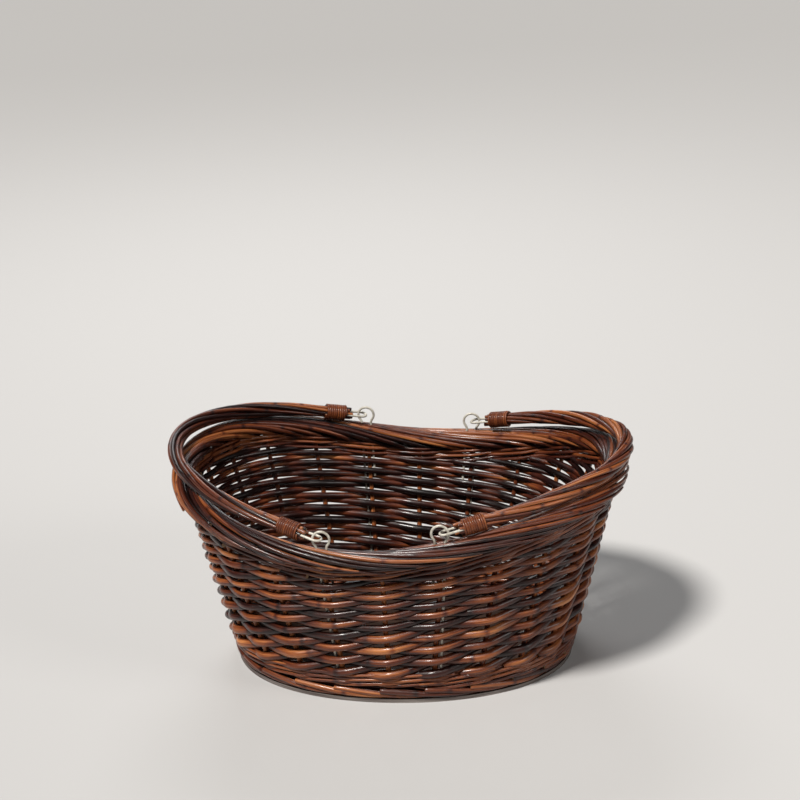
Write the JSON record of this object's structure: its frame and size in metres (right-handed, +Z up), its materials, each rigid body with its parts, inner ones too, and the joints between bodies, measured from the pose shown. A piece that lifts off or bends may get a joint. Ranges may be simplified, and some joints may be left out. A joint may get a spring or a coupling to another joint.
{
  "type": "woven fruit basket",
  "caption": "Oval woven willow basket with flared sides, a rolled rim that swings up at the ends, and drop handles hinged in wire eyes.",
  "frame": {"origin": "middle of the underside, where the base board rests", "axes": "+X along the length towards one handle, -Y to the front, +Z up"},
  "size_m": [0.4558, 0.3378, 0.2276],
  "materials": {
    "stained_willow": "dark red-brown stained willow rods under a thin gloss varnish",
    "binding_willow": "split willow binding, stained a warmer brown, satin",
    "base_plywood": "thin plywood board, grey-brown stain, satin",
    "galvanised_wire": "dull galvanised steel wire"
  },
  "bodies": {
    "basket": {"base_board": "base_plywood", "side_stakes": "stained_willow", "foot_border": "stained_willow", "upset_wale": "stained_willow", "side_weave_lower": "stained_willow", "side_weave_middle": "stained_willow", "side_weave_upper": "stained_willow", "top_wale": "stained_willow", "rim_border": "stained_willow", "hinge_eye_front_left": "galvanised_wire", "hinge_eye_back_left": "galvanised_wire", "hinge_eye_back_right": "galvanised_wire", "hinge_eye_front_right": "galvanised_wire"},
    "handle_left": {"handle_left_core_rod": "stained_willow", "handle_left_rod_1": "stained_willow", "handle_left_rod_2": "stained_willow", "handle_left_rod_3": "stained_willow", "handle_left_rod_4": "stained_willow", "handle_left_rod_5": "stained_willow", "handle_left_rod_6": "stained_willow", "handle_left_rod_7": "stained_willow", "handle_left_rod_8": "stained_willow", "handle_left_binding_front": "binding_willow", "handle_left_binding_back": "binding_willow", "handle_left_end_loop_front": "galvanised_wire", "handle_left_end_loop_back": "galvanised_wire"},
    "handle_right": {"handle_right_core_rod": "stained_willow", "handle_right_rod_1": "stained_willow", "handle_right_rod_2": "stained_willow", "handle_right_rod_3": "stained_willow", "handle_right_rod_4": "stained_willow", "handle_right_rod_5": "stained_willow", "handle_right_rod_6": "stained_willow", "handle_right_rod_7": "stained_willow", "handle_right_rod_8": "stained_willow", "handle_right_binding_front": "binding_willow", "handle_right_binding_back": "binding_willow", "handle_right_end_loop_front": "galvanised_wire", "handle_right_end_loop_back": "galvanised_wire"}
  },
  "joints": [
    {"name": "left_handle_swing", "type": "hinge", "parent": "basket", "child": "handle_left", "pos_m": [-0.06527, -0.1518, 0.18307], "axis": [0.0645, 0.9977, 0.0221], "range_deg": [0, 92]},
    {"name": "right_handle_swing", "type": "hinge", "parent": "basket", "child": "handle_right", "pos_m": [0.06527, 0.1518, 0.18307], "axis": [-0.0645, -0.9977, 0.0221], "range_deg": [0, 92]}
  ]
}
